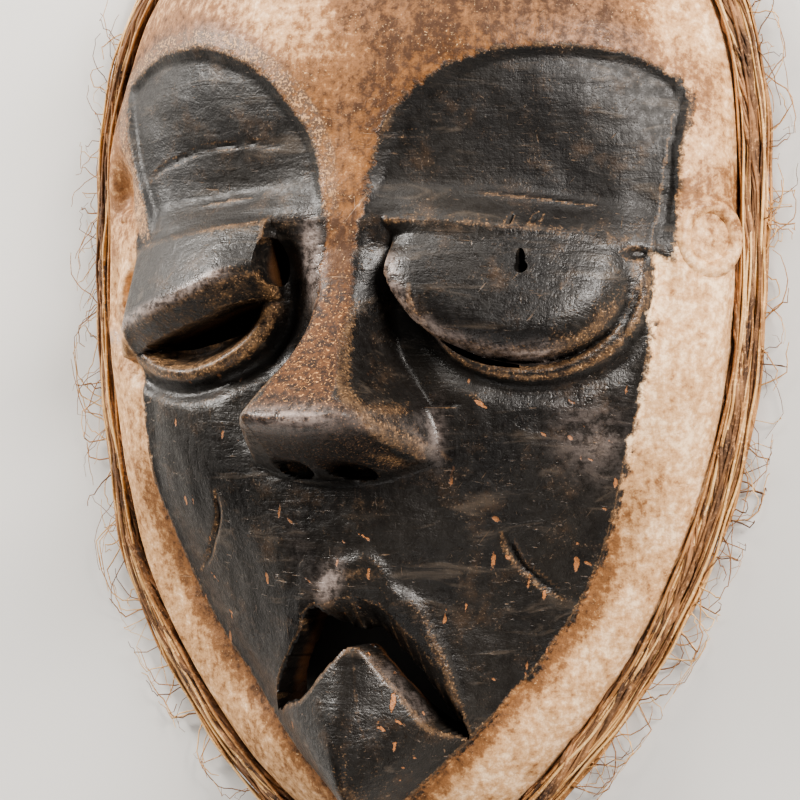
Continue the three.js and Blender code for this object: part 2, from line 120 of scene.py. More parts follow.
def dark_half(y, side):
    down = np.clip((DARK_WIDEST_Y - y) / (DARK_WIDEST_Y - DARK_CHIN_Y), 0, 1)
    low = DARK_HALF_WIDTH * (1 - down**2.6) ** 1.08
    high = DARK_HALF_WIDTH + np.where(side < 0, 8, 4) * ramp(DARK_WIDEST_Y, 85, y)
    fuller = np.where(side < 0, 3 * ramp(-5, -35, y) * ramp(-90, -60, y), 4 * ramp(-35, 10, y))
    return np.where(y < DARK_WIDEST_Y, low, high) + fuller


def from_rim(x, y):
    """How far in from the outline a place is, measured square to it."""
    slant = half_width(y + 0.5, x) - half_width(y - 0.5, x)
    return (half_width(y, x) - np.abs(x)) / np.sqrt(1 + slant**2)


def block(x, y):
    """The face before its features are cut."""
    across = np.abs(x)
    wide = np.maximum(half_width(y, x), 0.5)
    dark = np.clip(dark_half(y, x), 0.01, wide - 0.4)
    middle = through(MIDLINE, y)
    rim = np.minimum(through(DARK_EDGE, y), middle)
    rounded = np.sqrt(across**2 + MIDLINE_ROUND**2) - MIDLINE_ROUND
    face = rim + (middle - rim) * (1 - np.clip(rounded / dark, 0, 1) ** through(FULLNESS, y))
    outwards = across - dark
    border = EDGE_HEIGHT + (rim - EDGE_HEIGHT) * (1 - np.clip(outwards / (wide - dark), 0, 1) ** 1.5)
    border = border - 0.15 * np.clip(dark - across, 0, None)
    low = soft_max(np.where(across < dark, face, rim - outwards * 0.9), border, FOOT_ROUND)
    low = low - 0.25 * FOOT_ROUND * np.exp(-((outwards / FOOT_GROOVE_HALF) ** 2))
    dome = EDGE_HEIGHT + (middle - EDGE_HEIGHT) * (1 - np.clip(across / wide, 0, 1) ** 2.6)
    plain = low + (dome - low) * ramp(50, 100, y)
    off_x, off_y = (x - TEMPLE_X) / TEMPLE_HALF_X, (y - TEMPLE_Y) / TEMPLE_HALF_Y
    temple = TEMPLE_DEPTH * np.exp(-(off_x**2) - off_y**2)
    return soft_max(plain - temple, np.minimum(plain, EDGE_HEIGHT + 1), 1.5)


def waves(x, y, length, seed):
    """An even unevenness of about one, from a few crossing waves."""
    chance = np.random.default_rng(seed)
    total = 0
    for _ in range(7):
        angle, phase = chance.uniform(0, math.tau), chance.uniform(0, math.tau)
        stretch = chance.uniform(0.7, 1.4)
        on_wave = x * math.cos(angle) + y * math.sin(angle)
        total = total + np.sin(on_wave * math.tau * stretch / length + phase)
    return total / 3.5


# The brow hollows are two shallow scoops under the forehead, with a worn upper edge. They
# end below in a soft ledge over each eyelid.
LEDGE_Y = 45.5
HOLLOW_CENTRE, HOLLOW_INNER, HOLLOW_STEP, HOLLOW_DEPTH = 60, 54, 3, 6.5
HOLLOW_OUTER, HOLLOW_HIGH, HOLLOW_SQUARENESS = (54, 42), (50, 47), (2.1, 2.25)


def ledge(x):
    return LEDGE_Y - 0.001 * x**2


def hollow_inside(x, y):
    across, on_right = np.abs(x), x < 0
    half = np.where(across < HOLLOW_CENTRE, HOLLOW_INNER, np.where(on_right, *HOLLOW_OUTER))
    high = np.where(on_right, *HOLLOW_HIGH)
    power = np.where(on_right, *HOLLOW_SQUARENESS)
    reach = (np.abs(across - HOLLOW_CENTRE) / half) ** power + (np.clip(y - 44, 0, None) / high) ** power
    limit = np.where(on_right, 72 + 0.42 * (y - 42), 87.5 + 0.05 * (y - 42)) - across
    return soft_min((1 - reach ** (1 / power)) * 48, limit, 4)


def brow_depth(x, y):
    inside = hollow_inside(x, y) + 0.35 * waves(x, y, 23, 1)
    share = ramp(-0.5, 4, inside) * ramp(-4, 9, y - ledge(x) - 0.8 * waves(x, y, 31, 2))
    return share * (HOLLOW_STEP + HOLLOW_DEPTH * ramp(0, 30, inside) * (1 - ramp(0, 50, y - 46)))


# Each eye is a socket with a thin lower lid, and a hooded upper lid that comes forward
# from the ledge. The left lid is a closed half moon, the right one is straight and lifted.
EYE_CENTRE, SOCKET_Y, SOCKET_HALF, SOCKET_LOW, SOCKET_DEPTH = 51, 24, 30, 26, 9
LID_STAND, LID_TOP_Y = 11, 38
OPEN_LID_FOOT = [(16, 22.5), (24, 20.8), (30, 19.6), (37, 18), (45, 15), (61, 10.3), (74, 7), (88, 4)]
OPEN_LID_INNER, OPEN_LID_OUTER, OPEN_LID_FACE, OPEN_LID_DROP, FOOT_LEAN = 22.6, 84, 8, 9.5, 0.95
MOON_TOP_Y, MOON_HIGH, MOON_INNER, MOON_OUTER, MOON_ROUND, MOON_DROP = 35, 31.5, 39, 30, 11, 13


def socket_inside(x, y):
    further = np.where(x < 0, 4.5, 0)
    across = (np.abs(x) - EYE_CENTRE - further) / (SOCKET_HALF + 0.6 * further)
    return (1 - np.hypot(across, (SOCKET_Y - y) / SOCKET_LOW)) * SOCKET_LOW


def lid_line(x):
    moon = MOON_TOP_Y - MOON_HIGH * np.sqrt(np.clip(1 - ((x - EYE_CENTRE) / 38) ** 2, 0.05, 1))
    return np.where(x > 0, moon, through(OPEN_LID_FOOT, -x) + OPEN_LID_FACE)


def over_foot(x, y):
    """How far a place is above the foot of the open lid, along its slanting face."""
    return (y - through(OPEN_LID_FOOT, -x)) * FOOT_LEAN


def lid_inside(x, y):
    between_ends = soft_min((-x - OPEN_LID_INNER) * 5, OPEN_LID_OUTER + x, 3)
    straight = soft_min(over_foot(x, y), between_ends, 3)
    across = np.abs(x - EYE_CENTRE) / np.where(x < EYE_CENTRE, MOON_INNER, MOON_OUTER)
    reach = across**2.1 + (np.clip(MOON_TOP_Y - y, 0, None) / MOON_HIGH) ** 2.1
    return np.where(x > 0, (1 - reach ** (1 / 2.1)) * 31, straight) + 0.2 * waves(x, y, 12, 3)


def lid_height(x, y):
    start = np.where(x > 0, LID_TOP_Y, ledge(x))
    down = np.clip((start - y) / (start - lid_line(x)), 0, 1.1)
    inside = lid_inside(x, y)
    moon = 1 - np.sqrt(np.clip(1 - (1 - np.clip(inside / MOON_ROUND, 0, 1)) ** 2, 0, 1))
    moon = MOON_DROP * moon * ramp(43, 34, y)
    straight = OPEN_LID_DROP * soft_max(1 - inside / OPEN_LID_FACE, 0, 0.25)
    top_fade = 7 * ramp(-4, 4, y - ledge(x))
    stand = LID_STAND * np.where(x > 0, 1, ramp(-20, -42, x) * 0.55 + 0.45)
    return block(x, y) + stand * down**0.9 - np.where(x > 0, moon, straight) - top_fade


def with_eyes(x, y, height):
    inside, eye = socket_inside(x, y), ramp(38, 26, y)
    groove = np.where(x < 0, 3.2, 1.6) * np.exp(-(((inside + 3) / 2.8) ** 2))
    height = height - groove * eye * ramp(8, 14, np.abs(x))
    height = height + 1.6 * ramp(-1.2, 0.6, inside) * eye
    height = height - SOCKET_DEPTH * ramp(2.5, 8, inside) * eye
    on_lid = (lid_inside(x, y) > 0) & (y < ledge(x) + 6)
    return np.where(on_lid, soft_max(height, lid_height(x, y), 1.5), height)


# The nose is a wedge with a flat ridge and steep sides. Its broad tip rolls over into an
# underside with two oval nostrils.
RIDGE = [(-40, 91), (-22, 89), (-14, 87), (-8, 82.5), (5, 69.5), (20, 59.5), (32, 57), (60, 56)]
RIDGE_HALF = [(-40, 18), (-17, 16.5), (-8, 13), (5, 7.5), (20, 4.6), (32, 4.3), (45, 5.5), (60, 8.5)]
SIDE_SLOPE = [(-40, 3), (-9, 3.4), (5, 3.2), (20, 1.6), (30, 0.9), (60, 0.9)]
NOSE_BASE_HALF, NOSE_BASE_Y, NOSE_BASE_HEIGHT, UNDERSIDE_SLOPE = 27, -32.5, 50, 2.35
NOSTRILS = [(-12.3, -27), (5.4, -27.4)]
NOSTRIL_HALF_X, NOSTRIL_HALF_Y, NOSTRIL_SLANT, NOSTRIL_DEPTH = 6.2, 2.4, 0.09, 13


def nose(x, y):
    slimmer = 2.5 * ramp(-8, -24, y) * ramp(8, 18, x) + 1.4 * ramp(-12, -3, y) * ramp(26, 14, y)
    across = np.abs(x) + np.where(x > 0, slimmer, 0)
    ridge = through(RIDGE, y) - 0.06 * np.clip(y - 28, 0, None) ** 2
    side = ridge + 1.5 - (across - through(RIDGE_HALF, y)) * through(SIDE_SLOPE, y)
    upper = soft_min(ridge - 0.006 * across**2, side, 3.5)
    low_line = NOSE_BASE_Y + 7 * (across / NOSE_BASE_HALF) ** 2
    height = soft_min(upper, NOSE_BASE_HEIGHT + (y - low_line) * UNDERSIDE_SLOPE, 8)
    for centre_x, centre_y in NOSTRILS:
        off_x, off_y = x - centre_x, y - centre_y + NOSTRIL_SLANT * (x - centre_x)
        reach = (off_x / NOSTRIL_HALF_X) ** 2 + (off_y / NOSTRIL_HALF_Y) ** 2
        height = height - NOSTRIL_DEPTH * ramp(1.25, 0.45, reach)
    return height


# The mouth is an open chevron with ragged edges, under a soft roll of the upper lip. What
# is below it is a flat-sided wedge that runs down to the chin.
LIP_FRONT = [
    (-31, -94), (-26, -84.5), (-20.4, -77.2), (-15.5, -71.3), (-13.6, -66.7), (-10.4, -64.9),
    (-7.8, -64.9), (-5.7, -64.2), (-1.7, -62.5), (2, -62.5), (6.2, -63), (10.1, -64.2),
    (15, -69.7), (19.8, -75.1), (24.2, -83.4), (26, -89), (27.5, -94.5), (29, -101)]
UPPER_LIP = [
    (-31, -95), (-27, -87.5), (-22, -80), (-16, -72.8), (-14, -67.7), (-10.4, -65.6),
    (-7.8, -66.3), (-5.7, -68.3), (-2.6, -69.5), (0.6, -70.7), (2.6, -71), (4.8, -70),
    (7.5, -70.9), (12.5, -76.6), (17.2, -82.6), (21.6, -90.3), (25, -96.5), (29, -101)]
LOWER_LIP = [
    (-31, -96), (-24.4, -92.7), (-16.3, -90.8), (-11.6, -87.2), (-6.8, -82.2), (-2.3, -78.4), (0.7, -75.8),
    (2.7, -75.2), (5.5, -76.1), (8.1, -79.5), (14.9, -88.2), (19.2, -95), (22, -98), (29, -101)]
LIP_SHARPNESS, ROLL_HEIGHT, PLATE_DEPTH, PLATE_HALF = 1.3, 1.5, 0.8, 1.4


def upper_lip(x):
    return through(UPPER_LIP, x) + 0.3 * np.sin(x * 1.9) + 0.2 * np.sin(x * 4.3 + 1)


def lower_lip(x):
    return np.minimum(through(LOWER_LIP, x) + 0.15 * np.sin(x * 1.3 + 2), upper_lip(x) - 0.4)


def with_mouth(x, y, height):
    front, cut, low = through(LIP_FRONT, x) + 0.4 * waves(x, y, 9, 12), upper_lip(x), lower_lip(x)
    above = (y - front) * 0.75
    roll = ramp(-1, 4, above) * ramp(12, 5.5, above + 1.2 * waves(x, y, 14, 13))
    roll = roll * ramp(-4, 5, x) * ramp(36, 27, x) + 0.35 * roll * ramp(-30, -20, x) * ramp(5, -4, x)
    between = np.clip((front - y) / np.maximum(front - cut, 0.6), 0, 1) * (np.abs(x) < 28.5)
    fall = np.where(y > through(LOWER_LIP, x) - 0.5, between**LIP_SHARPNESS, 0)
    fall = fall * np.clip((front - cut) * 1.2, 1.0, 9)
    plate = np.exp(-(((y - low) / PLATE_HALF) ** 2)) * ramp(30, 26, np.abs(x)) * (y < low + 0.6)
    return height + ROLL_HEIGHT * roll - fall - PLATE_DEPTH * plate


# Use has left its marks: a gouge in each cheek, cracks across the brow hollows and beside
# the closed eye, nicks in the ledge, and a chip each at the mouth and at the eye's outer
# corner. A gouge or crack is given by its points, its half width and its depth.
GOUGES = [
    ([(43, -42.8), (43.8, -48), (45.6, -52.8), (48.3, -56), (51, -58.4), (54.5, -61)], 0.9, 1.9),
    ([(-44.3, -32.4), (-45, -38.6), (-48, -45.8), (-53.5, -51.6), (-59, -55.5)], 0.7, 1.2)]
CRACKS = [
    ([(9, 65.5), (16, 66), (27, 65)], 0.5, 0.4),
    ([(-74, 57), (-66, 61.5), (-54, 64.5), (-38, 65.5), (-18, 64)], 0.6, 0.7),
    ([(80, 26), (77.5, 19), (76, 12), (77, 6)], 0.7, 1.2)]
NICKS = [
    ((46.9, 42), (0.45, 1.5)), ((53.3, 42.6), (0.45, 1.7)),
    ((27.4, -95), (0.8, 1.6)), ((78, 33.5), (2.4, 1.5))]
NICK_DEPTH = 1.6


def distance_to(line, x, y):
    nearest = np.full(np.shape(x), 1e3)
    for (ax, ay), (bx, by) in zip(line, line[1:]):
        run, rise = bx - ax, by - ay
        along = np.clip(((x - ax) * run + (y - ay) * rise) / (run**2 + rise**2), 0, 1)
        nearest = np.minimum(nearest, np.hypot(x - ax - along * run, y - ay - along * rise))
    return nearest


def with_marks(x, y, height):
    for line, half, deep in GOUGES + CRACKS:
        away = distance_to(line, x + 0.35 * waves(x, y, 12, 4), y + 0.35 * waves(x, y, 10, 5))
        from_end = np.minimum(*(np.hypot(x - end_x, y - end_y) for end_x, end_y in (line[0], line[-1])))
        height = height - deep * ramp(0, 6, from_end) * np.exp(-((away / half) ** 2))
    for (cx, cy), (half_x, half_y) in NICKS:
        height = height - NICK_DEPTH * ramp(1.3, 0.5, np.hypot((x - cx) / half_x, (y - cy) / half_y))
    return height


def carve(x, y):
    """The finished front of the mask."""
    across = np.abs(x)
    corner, flank = np.where(x > 0, 13.5, 22), through(RIDGE_HALF, y)
    crease = ramp(0, 1, (across - flank) / (corner - flank)) * (1 - ramp(0, 24, across - corner))
    height = block(x, y) - brow_depth(x, y) - 7 * crease * ramp(-34, 0, y) * ramp(47, 31, y)
    height = height + 0.35 * waves(x, y, 38, 6) + 0.13 * waves(x, y, 11, 7)
    height = with_eyes(x, y, height)
    height = soft_max(height, nose(x, y) + 0.12 * waves(x, y, 9, 8), 2.5)
    height = with_marks(x, y, with_mouth(x, y, height))
    inwards = np.clip(from_rim(x, y), 0, EDGE_ROUND)
    rounded = EDGE_ROUND - np.sqrt(np.clip(EDGE_ROUND**2 - (EDGE_ROUND - inwards) ** 2, 0, None))
    return np.maximum(height - rounded, EDGE_LEAST)


# The wood itself: a fine grid is pressed into the form of the front and closed below, and
# a coarser one makes the hollow that is taken out of it from behind.
FRONT_ROWS = [
    (0, -146.7), (0.05, -134), (0.13, -104), (0.32, -60), (0.39, -36), (0.74, 50), (0.86, 95), (1, 149.7)]
FRONT_COLUMNS = [(0, 0), (0.9, 0.925), (1, 1)]


def placed(bm, name):
    """The finished mesh, put into the scene as a piece."""
    mesh = bpy.data.meshes.new(name)
    bm.to_mesh(mesh)
    bm.free()
    form = bpy.data.objects.new(name, mesh)
    bpy.context.collection.objects.link(form)
    return form


def draw_to(height, extrusion):
    """The corners that an extrusion has made, moved to one height."""
    for vertex in (part for part in extrusion["geom"] if isinstance(part, bmesh.types.BMVert)):
        vertex.co.z = height


def closed_form(name, columns, rows, place_rows, place_columns, height, floor):
    """A grid moved into its form, with its edge drawn straight down and closed."""
    bm = bmesh.new()
    bmesh.ops.create_grid(bm, x_segments=columns, y_segments=rows, size=1)
    grid = np.array([vertex.co for vertex in bm.verts])
    y = place_rows((grid[:, 1] + 1) / 2)
    x = place_columns(grid[:, 0], y)
    for vertex, place in zip(bm.verts, np.stack([x, y + EYE_LINE, height(x, y)], 1) / 1000):
        vertex.co = place
    border = [edge for edge in bm.edges if edge.is_boundary]
    draw_to(floor / 1000, bmesh.ops.extrude_edge_only(bm, edges=border))
    bmesh.ops.holes_fill(bm, edges=[edge for edge in bm.edges if edge.is_boundary], sides=0)
    bmesh.ops.recalc_face_normals(bm, faces=bm.faces)
    return placed(bm, name)


def front_rows(share):
    """Rows close up towards the crown, where the outline turns in fast."""
    y = np.interp(share, *zip(*FRONT_ROWS))
    (bend_share, bend_y), (_, end_y) = FRONT_ROWS[-2:]
    crown = bend_y + (end_y - bend_y) * np.sin(np.clip((share - bend_share) / 0.14, 0, 1) * math.pi / 2)
    return np.where(share > bend_share, crown, y)


def front_columns(across, y):
    return np.sign(across) * np.interp(np.abs(across), *zip(*FRONT_COLUMNS)) * half_width(y, across)


wood = closed_form("mask_wood", 232, 364, front_rows, front_columns, carve, 0)

RIM_WALL, EDGE_WALL, MORE_WALL = 8, 6.5, 9.5
HOLLOW_CHIN_Y, HOLLOW_CROWN_Y, HOLLOW_FLOOR = -133, 140, -15
HOLLOW_SHARE = 1 - RIM_WALL / HALF_WIDTH


def outer_y(y):
    return y * np.where(y < 0, CHIN_Y / HOLLOW_CHIN_Y, CROWN_Y / HOLLOW_CROWN_Y)


def hollow_half(y, side):
    return np.maximum(half_width(outer_y(y), side) * HOLLOW_SHARE, 0.2)


def hollow_height(x, y):
    reach = np.maximum(np.abs(x) / hollow_half(y, x), y / np.where(y < 0, HOLLOW_CHIN_Y, HOLLOW_CROWN_Y))
    reach = np.clip(reach, 0, 1)
    shell = block(x / HOLLOW_SHARE * 0.999, outer_y(y)) - EDGE_WALL
    scoops = 0.5 * waves(x, y, 17, 9) + 0.25 * waves(x, y, 8, 10)
    return shell - MORE_WALL * (1 - reach**2) + scoops * (1 - reach**6)


def hollow_rows(share):
    middle = (HOLLOW_CHIN_Y + HOLLOW_CROWN_Y) / 2
    half = (HOLLOW_CROWN_Y - HOLLOW_CHIN_Y) / 2 - 0.3
    return middle + half * np.sin((2 * share - 1) * math.pi / 2)


def hollow_columns(across, y):
    return hollow_half(y, across) * np.sin(across * math.pi / 2)


hollow = closed_form("hollow", 64, 84, hollow_rows, hollow_columns, hollow_height, HOLLOW_FLOOR)


# The openings go right through the wall: the mouth, the slit under each upper lid, a hole
# at one inner corner and a keyhole in the closed lid. The ears are added as small rings.
CUT_FROM, CUT_TO = -20, 120


def through_cut(name, outline):
    bm = bmesh.new()
    corners = [bm.verts.new((x / 1000, (y + EYE_LINE) / 1000, CUT_FROM / 1000)) for x, y in outline]
    draw_to(CUT_TO / 1000, bmesh.ops.extrude_face_region(bm, geom=[bm.faces.new(corners)]))
    bmesh.ops.recalc_face_normals(bm, faces=bm.faces)
    return placed(bm, name)


def oval(x, y, half_x, half_y, turn=0.0, count=24):
    for angle in np.linspace(0, math.tau, count, endpoint=False):
        a, b = half_x * math.cos(angle), half_y * math.sin(angle)
        yield x + a * math.cos(turn) - b * math.sin(turn), y + a * math.sin(turn) + b * math.cos(turn)


def slit(left, right, upper, lower, count=40):
    places = np.linspace(left, right, count)
    high, low = upper(places), np.minimum(lower(places), upper(places) - 0.05)
    return list(zip(places, low)) + list(zip(places, high))[-2:0:-1]


EAR_LEFT, EAR_RIGHT, EAR_TILT = (93.5, 39, 17.5), (-86, 39, 19), 0.8
EAR_RADIUS, EAR_RING_RADIUS, EAR_WEB_SHARE, EAR_STRETCH = 10, 3.2, 0.2, (0.0008, 0.00088, 0.00085)


def ear(side):
    """A ring spun round its own middle, with a dished web across it."""
    bm = bmesh.new()
    middle = (0, 0, 0)
    ring = bmesh.ops.create_circle(bm, segments=14, radius=EAR_RING_RADIUS)["verts"]
    bmesh.ops.rotate(bm, verts=ring, cent=middle, matrix=Matrix.Rotation(math.pi / 2, 3, "X"))
    bmesh.ops.translate(bm, verts=ring, vec=(EAR_RADIUS, 0, 0))
    bmesh.ops.spin(
        bm, geom=bm.edges[:], cent=middle, axis=(0, 0, 1), angle=math.tau, steps=40, use_merge=True)
    web = bmesh.ops.create_uvsphere(bm, u_segments=32, v_segments=16, radius=EAR_RADIUS)["verts"]
    bmesh.ops.scale(bm, verts=web, vec=(1, 1, EAR_WEB_SHARE))
    bmesh.ops.scale(bm, verts=bm.verts, vec=EAR_STRETCH)
    bmesh.ops.rotate(bm, verts=bm.verts, cent=middle, matrix=Matrix.Rotation(side * EAR_TILT, 3, "Y"))
    ear_x, ear_y, ear_z = EAR_LEFT if side > 0 else EAR_RIGHT
    bmesh.ops.translate(bm, verts=bm.verts, vec=(ear_x / 1000, (ear_y + EYE_LINE) / 1000, ear_z / 1000))
    bmesh.ops.recalc_face_normals(bm, faces=bm.faces)
    return placed(bm, "ear")


def work(form, tool, operation):
    change = form.modifiers.new(operation, "BOOLEAN")
    change.operation, change.solver, change.object = operation, "MANIFOLD", tool
    worked = bpy.data.meshes.new_from_object(form.evaluated_get(bpy.context.evaluated_depsgraph_get()))
    form.modifiers.remove(change)
    form.data = worked
    bpy.data.objects.remove(tool)


def open_eye_top(x):
    return through(OPEN_LID_FOOT, -x) + 0.7


def open_eye_low(x):
    return through([(28.5, 20.5), (31.5, 15.8), (38.8, 11.2), (52.5, 7.9), (62, 7.4), (71, 8.2)], -x)


def closed_eye_top(x):
    return through([(28, 9.4), (34, 6.8), (41, 3.9), (50, 2.2)], x)


def closed_eye_low(x):
    return through([(28, 8.6), (34, 4.8), (41, 2.2), (50, 1.4)], x)


for side in (-1, 1):
    work(wood, ear(side), "UNION")
work(wood, hollow, "DIFFERENCE")
for tool in (
    through_cut("mouth", slit(-30.4, 28.4, upper_lip, lower_lip, 90)),
    through_cut("open_eye", slit(-70, -28.5, open_eye_top, open_eye_low)),
    through_cut("closed_eye", slit(28, 50, closed_eye_top, closed_eye_low)),
    through_cut("corner_hole", oval(-23.3, 31, 2.8, 6.8)),
    through_cut("keyhole", oval(51.2, 31, 1.25, 3.1, 0.12)),
    through_cut("keyhole_foot", oval(51.6, 28.8, 1.7, 1.7)),
):
    work(wood, tool, "DIFFERENCE")


# What the finish needs to know of each place on the wood: how far inside the blackened
# zone it is, how sharply it bends, and where hands and cloth have rubbed it bare.
def note(mesh, name, values):
    mesh.attributes.new(name, "FLOAT", "POINT").data.foreach_set("value", np.asarray(values, np.float32))


def blot(x, y, cx, cy, half_x, half_y, turn=0.0):
    a = (x - cx) * math.cos(turn) + (y - cy) * math.sin(turn)
    b = (y - cy) * math.cos(turn) - (x - cx) * math.sin(turn)
    return np.exp(-((a / half_x) ** 2) - (b / half_y) ** 2)


places = np.empty(len(wood.data.vertices) * 3, np.float32)
wood.data.vertices.foreach_get("co", places)
x, y, z = places.reshape(-1, 3).T * 1000.0
y = y - EYE_LINE
surface = carve(x, y)
on_front = np.maximum(ramp(-1.6, -0.5, z - surface), ramp(1.6, 0.8, from_rim(x, y)) * (z > -1))

black_face = np.minimum(dark_half(y, x) - np.abs(x), ledge(x) + 1.5 - y)
black_brow = np.minimum(hollow_inside(x, y), y - ledge(x) + 6)
BARE_LEFT = [(-40, 21), (-13, 17), (-9, 12), (-7, 9.7), (8, 4.8), (16, 4.4), (30, 3.8), (45, 6), (60, 8.5)]
BARE_RIGHT = [(-40, 18), (-13, 14.5), (-8, 11.3), (8, 8.2), (21, 7.6), (36, 5), (45, 5.6), (60, 8)]
bare_ridge = np.where(x > 0, through(BARE_LEFT, y) - x, through(BARE_RIGHT, y) + x)
bare_ridge = np.minimum(bare_ridge, (y + 27) * 1.5)
blackened = np.minimum(np.maximum(black_face, black_brow), -bare_ridge)
note(wood.data, "blackened", blackened)
brow_inside = np.where(y > ledge(x) - 3, hollow_inside(x, y), -40)
note(wood.data, "brow", brow_inside)
note(wood.data, "ridge", bare_ridge)

around = sum(carve(x + dx * 1.1, y + dy * 1.1) for dx, dy in ((1, 0), (-1, 0), (0, 1), (0, -1)))
near_nostril = sum(blot(x, y, *nostril, 9, 6) for nostril in NOSTRILS)
bend = np.clip((4 * surface - around) * 1.57, -1, 1)
note(wood.data, "edge", bend * on_front * (1 - 0.9 * np.clip(near_nostril, 0, 1)))

# Tone of the forehead and the border, from white clay at 0 to dark brown patina at 1
handled = ramp(-12, 8, x + 4 * waves(x, y, 24, 14)) * ramp(62, 24, x) * ramp(20, 60, y)
over_brow = ramp(10, 40, x) * ramp(84, 60, x) * ramp(60, 80, y)
beside_hollow, at_temple = ramp(-14, 0, brow_inside) * ramp(60, 80, y), ramp(66, 84, x) * ramp(50, 70, y)
tone = 0.66 + 0.26 * handled + 0.35 * over_brow + 0.35 * beside_hollow
tone = tone - 0.3 * blot(x, y, -24, 96, 20, 22) - 0.35 * at_temple
tone = np.where(y < 62, np.maximum(tone, ramp(66, 40, y) * ramp(14, 9, np.abs(x)) * 0.95), tone)
on_border = ramp(56, 30, y + 3 * waves(x, y, 16, 15)) * (-blackened > -6) * (bare_ridge < -8)
border_tone = np.where(x > 0, 0.29, 0.42) + 0.5 * ramp(11, 0, -blackened) * ramp(-10, -60, y)
tone = tone * (1 - on_border) + border_tone * on_border
note(wood.data, "tone", np.clip(tone, 0, 0.94))

socket = socket_inside(x, y)
lid = lid_inside(x, y)
below_ledge = ramp(ledge(x), ledge(x) - 4, y)
lower_lid = np.exp(-(((socket - 0.9) / 1.1) ** 2)) * ramp(30, 20, y) * np.where(x < 0, 1, 0.85)
dish = ramp(1, 3, socket) * ramp(30, 22, y) * ramp(0.5, -0.5, lid) * (x < 0)
on_open_lid = over_foot(x, y)
open_face = ramp(-0.5, 1, on_open_lid) * ramp(9, 6.5, on_open_lid) * (x < 0) * below_ledge * ramp(-21, -25, x)
moon_rim = np.exp(-(((lid - 2.0) / 2.6) ** 2)) * (x > 0) * below_ledge * ramp(36, 28, y)
ledge_rub = np.exp(-(((y - ledge(x) + 3) / 4) ** 2)) * ramp(6, 16, np.abs(x))
rubbed = 0.7 * lower_lid + 0.6 * dish + 0.5 * open_face + 0.42 * moon_rim + 0.42 * ledge_rub
RUBBED_SPOTS = [
    (0.8, (17.5, -24.5, 4.5, 2.2, -0.2)), (0.45, (-15, -21, 3.5, 3)), (0.35, (62, 24, 10, 5, 0.5)),
    (0.32, (4, -36, 17, 5)), (0.5, (4, -56, 10, 3)), (0.45, (6, -64, 10, 1.6)),
    (0.35, (22, -70, 16, 4, -0.95))]
for share, spot in RUBBED_SPOTS:
    rubbed = rubbed + share * blot(x, y, *spot)
beside_gouges = [([(px - 0.9, py - 0.7) for px, py in line], 0.8, 0.75) for line, *_ in GOUGES]
below_cracks = [([(px, py - 0.7) for px, py in line], 0.7, 0.4) for line, *_ in CRACKS[:2]]
WORN_LINES = [
    ([(17.5, -12.5), (24, -18.5), (30.5, -23.7)], 1.5, 0.6), ([(3, -77.5), (4, -88), (6.5, -101)], 0.9, 0.5)]
for line, half, share in beside_gouges + below_cracks + WORN_LINES:
    rubbed = rubbed + share * np.exp(-((distance_to(line, x, y) / half) ** 2))
note(wood.data, "rubbed", np.clip(rubbed, 0, 1) * on_front)
# Polished places are glossier, and the same value places painted highlights, greyed in colour: along the open
# lid's top edge and the closed lid's rim, on the lower lip, the nose, a cheek and the upper lip
open_lid_highlight = np.exp(-(((on_open_lid - 8.2) / 1.9) ** 2)) * (x < 0) * below_ledge * ramp(-28, -40, x)
LOWER_LIP_SHINE = [(4.5, -77), (9, -81.2), (15.5, -89.8), (19.5, -96.2)]
polish_and_painted_highlight = 1.1 * moon_rim * ramp(66, 56, x) + 1.4 * open_lid_highlight
polish_and_painted_highlight = polish_and_painted_highlight + 0.6 * np.exp(-((distance_to(LOWER_LIP_SHINE, x, y) / 0.55) ** 2))
POLISHED_AND_HIGHLIGHT_SPOTS = [
    (1.5, (-10, 31, 4, 12)), (0.6, (27, -16, 3, 12)), (0.6, (66, -17, 10, 13)),
    (0.25, (-14, -50, 6, 14, 0.3)), (1.2, (0, -15, 17, 4.6)), (1.2, (-4, -58, 4, 7, -0.5))]
for share, spot in POLISHED_AND_HIGHLIGHT_SPOTS:
    polish_and_painted_highlight = polish_and_painted_highlight + share * blot(x, y, *spot)
note(wood.data, "polish_and_painted_highlight", np.clip(polish_and_painted_highlight, 0, 1) * on_front)
note(wood.data, "front", on_front)
wood.data.set_sharp_from_angle(angle=math.radians(50))


# Finish of the wood: soot black on the face, rubbed clay and bare wood on the forehead and
# the border, a brown handled ridge, and raw dark wood behind. Colours are as seen.
def seen(red, green, blue):
    """A colour as it looks, each part from 0 to 255, made linear for the shader."""
    return (*(((part / 255 + 0.055) / 1.055) ** 2.4 for part in (red, green, blue)), 1.0)


def grey(value):
    return (value, value, value, 1.0)


def feed(tree, node, sockets):
    """Each socket takes another node's output or a fixed value."""
    for key, value in sockets.items():
        if isinstance(value, bpy.types.NodeSocket):
            tree.links.new(value, node.inputs[key])
        else:
            node.inputs[key].default_value = value


def put(tree, kind, sockets=None, **settings):
    node = tree.nodes.new("ShaderNode" + kind)
    for key, value in settings.items():
        setattr(node, key, value)
    feed(tree, node, sockets or {})
    return node


def sums(tree, operation, *values):
    return put(tree, "Math", dict(enumerate(values)), operation=operation).outputs[0]


def times(tree, a, b):
    return sums(tree, "MULTIPLY", a, b)


def weighed(tree, *parts):
    """The sum of a few values, each given with its weight."""
    total, *others = (times(tree, value, weight) for value, weight in parts)
    for part in others:
        total = sums(tree, "ADD", total, part)
    return total


def uneven(tree, *parts):
    """A ragged line or tone, about nought, from noises that run from 0 to 1."""
    return weighed(tree, *((sums(tree, "SUBTRACT", noise, 0.5), weight) for noise, weight in parts))


def slope(tree, value, start, end, low=0.0, high=1.0):
    settings = {"Value": value, "From Min": start, "From Max": end, "To Min": low, "To Max": high}
    return put(tree, "MapRange", settings, interpolation_type="SMOOTHSTEP").outputs[0]


def over(tree, share, under, upper):
    return put(tree, "Mix", {0: share, 6: under, 7: upper}, data_type="RGBA").outputs[2]


